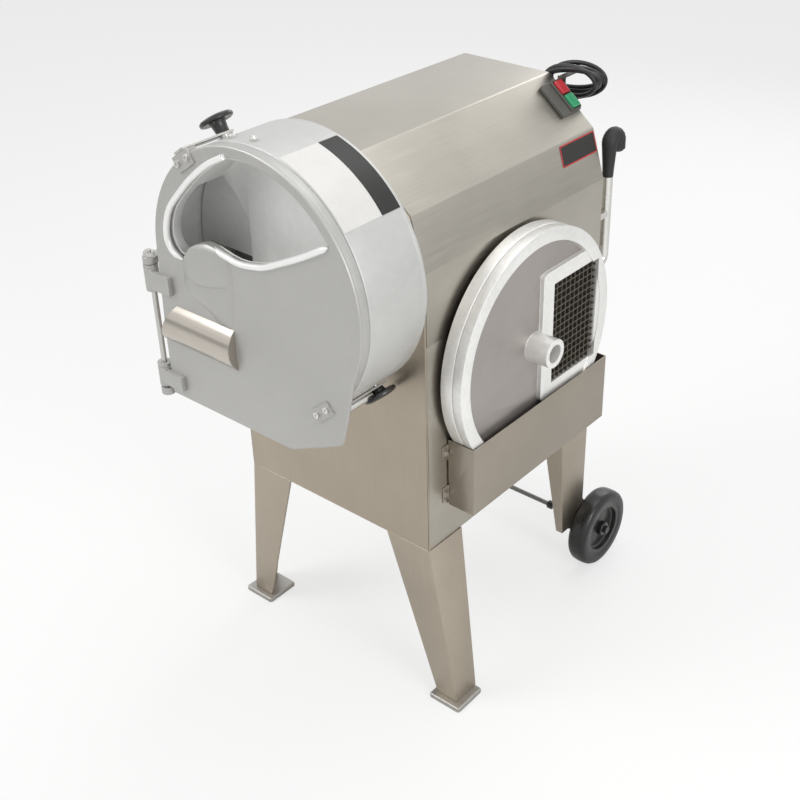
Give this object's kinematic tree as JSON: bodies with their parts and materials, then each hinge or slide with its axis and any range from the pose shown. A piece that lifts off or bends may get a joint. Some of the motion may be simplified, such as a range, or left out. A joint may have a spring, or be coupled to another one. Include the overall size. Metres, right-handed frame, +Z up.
{
  "type": "vegetable slicing machine",
  "caption": "Floor-standing slicer: round cutting drum with hinged door and feed hopper, faceted housing on four legs, side pocket with spare discs, rear wheels and handles.",
  "frame": {"origin": "centre of the bounding box at floor level, measured without the mains lead", "axes": "+Z up, the hinged door faces -Y, the disc pocket is on +X"},
  "size_m": [0.5896, 0.793, 1.089],
  "materials": {
    "front_plate": "brushed stainless, warm reflections",
    "hood": "brushed stainless",
    "lower_housing": "brushed stainless",
    "rear_cover": "brushed stainless",
    "housing_screws": "polished",
    "base_tray": "mill finish",
    "leg_front_left": "folded stainless",
    "leg_front_right": "folded stainless",
    "leg_rear_left": "folded stainless",
    "leg_rear_right": "folded stainless",
    "feet": "satin",
    "axle": "turned",
    "axle_fittings": "satin black",
    "drum": "fine cast, satin",
    "drum_studs": "polished",
    "drum_band": "matte dark, bare",
    "bare_plates": "matte white, bare",
    "hinge_lugs": "satin",
    "hinge_pin": "ground",
    "bearing_housing": "painted",
    "motor": "painted, ribbed",
    "switch_box": "smooth",
    "pocket": "brushed stainless",
    "disc_rest": "matte",
    "handles": "polished",
    "grips": "matte",
    "cord_hook": "satin black",
    "cord_gland": "matte",
    "cord_lead": "matte",
    "cord_coil": "matte",
    "cord_plug": "matte",
    "v_belt": "matte",
    "clamp_strap": "brushed",
    "door": "fine cast, satin",
    "hopper": "fine cast, satin",
    "hopper_rim": "polished edge",
    "door_seal": "matte",
    "feed_guard": "polished stainless",
    "door_knuckles": "satin",
    "door_brackets": "brushed",
    "bracket_screws": "polished",
    "main_shaft": "ground",
    "cutting_disc": "machined",
    "cutting_blades": "ground",
    "disc_nut": "turned",
    "big_pulley": "painted",
    "motor_shaft": "ground",
    "small_pulley": "painted",
    "knob_top": "smooth black",
    "knob_low": "smooth black",
    "button_stop": "smooth red",
    "button_start": "smooth green",
    "tyre_left": "matte",
    "wheel_rim_left": "satin black",
    "tyre_right": "matte",
    "wheel_rim_right": "satin black",
    "dicing_disc": "fine cast, satin",
    "dicing_grid": "ground",
    "spare_disc": "fine cast, satin"
  },
  "bodies": {
    "frame": {"front_plate": "front_plate", "hood": "hood", "lower_housing": "lower_housing", "rear_cover": "rear_cover", "housing_screws": "housing_screws", "base_tray": "base_tray", "leg_front_left": "leg_front_left", "leg_front_right": "leg_front_right", "leg_rear_left": "leg_rear_left", "leg_rear_right": "leg_rear_right", "feet": "feet", "axle": "axle", "axle_fittings": "axle_fittings", "drum": "drum", "drum_studs": "drum_studs", "drum_band": "drum_band", "bare_plates": "bare_plates", "hinge_lugs": "hinge_lugs", "hinge_pin": "hinge_pin", "bearing_housing": "bearing_housing", "motor": "motor", "switch_box": "switch_box", "pocket": "pocket", "disc_rest": "disc_rest", "handles": "handles", "grips": "grips", "cord_hook": "cord_hook", "cord_gland": "cord_gland", "cord_lead": "cord_lead", "cord_coil": "cord_coil", "cord_plug": "cord_plug", "v_belt": "v_belt"},
    "strap": {"clamp_strap": "clamp_strap"},
    "door": {"door": "door", "hopper": "hopper", "hopper_rim": "hopper_rim", "door_seal": "door_seal", "feed_guard": "feed_guard", "door_knuckles": "door_knuckles", "door_brackets": "door_brackets", "bracket_screws": "bracket_screws"},
    "rotor": {"main_shaft": "main_shaft", "cutting_disc": "cutting_disc", "cutting_blades": "cutting_blades", "disc_nut": "disc_nut", "big_pulley": "big_pulley"},
    "motor_rotor": {"motor_shaft": "motor_shaft", "small_pulley": "small_pulley"},
    "knob_top": {"knob_top": "knob_top"},
    "knob_low": {"knob_low": "knob_low"},
    "stop_button": {"button_stop": "button_stop"},
    "start_button": {"button_start": "button_start"},
    "wheel_left": {"tyre_left": "tyre_left", "wheel_rim_left": "wheel_rim_left"},
    "wheel_right": {"tyre_right": "tyre_right", "wheel_rim_right": "wheel_rim_right"},
    "dicing_disc": {"dicing_disc": "dicing_disc", "dicing_grid": "dicing_grid"},
    "spare_disc": {"spare_disc": "spare_disc"}
  },
  "joints": [
    {"name": "door_swing", "type": "hinge", "parent": "frame", "child": "door", "pos_m": [-0.26525, -0.3735, 0.7], "axis": [0, 0, -1], "range_deg": [0, 110]},
    {"name": "strap_swing", "type": "hinge", "parent": "frame", "child": "strap", "pos_m": [-0.14547, -0.2875, 1.04668], "axis": [-0.5736, 0, 0.8192], "range_deg": [-60, 60]},
    {"name": "knob_top_turn", "type": "hinge", "parent": "frame", "child": "knob_top", "pos_m": [-0.15178, -0.2875, 1.05569], "axis": [-0.5736, 0, 0.8192], "continuous": true},
    {"name": "knob_low_turn", "type": "hinge", "parent": "frame", "child": "knob_low", "pos_m": [0.14293, -0.2645, 0.6646], "axis": [0.6293, 0, -0.7771], "continuous": true},
    {"name": "rotor_turn", "type": "hinge", "parent": "frame", "child": "rotor", "pos_m": [-0.01125, -0.2275, 0.855], "axis": [0, 1, 0], "continuous": true},
    {"name": "motor_turn", "type": "hinge", "parent": "frame", "child": "motor_rotor", "pos_m": [-0.01125, -0.0815, 0.452], "axis": [0, 1, 0], "continuous": true},
    {"name": "stop_press", "type": "slide", "parent": "frame", "child": "stop_button", "axis": [-0.641, 0, -0.7676], "range_m": [0, 0.003], "stiffness_N_per_m": 500, "springref_m": -0.001},
    {"name": "start_press", "type": "slide", "parent": "frame", "child": "start_button", "axis": [-0.641, 0, -0.7676], "range_m": [0, 0.003], "stiffness_N_per_m": 500, "springref_m": -0.001},
    {"name": "wheel_left_turn", "type": "hinge", "parent": "frame", "child": "wheel_left", "pos_m": [-0.24175, 0.3125, 0.084], "axis": [1, 0, 0], "continuous": true},
    {"name": "wheel_right_turn", "type": "hinge", "parent": "frame", "child": "wheel_right", "pos_m": [0.21925, 0.3125, 0.084], "axis": [1, 0, 0], "continuous": true},
    {"name": "dicing_disc_lift", "type": "slide", "parent": "frame", "child": "dicing_disc", "axis": [0, 0, 1], "range_m": [0, 0.2]},
    {"name": "spare_disc_lift", "type": "slide", "parent": "frame", "child": "spare_disc", "axis": [0, 0, 1], "range_m": [0, 0.2]}
  ],
  "couplings": [
    {"joint": "motor_turn", "follows": "rotor_turn", "ratio": 3}
  ]
}
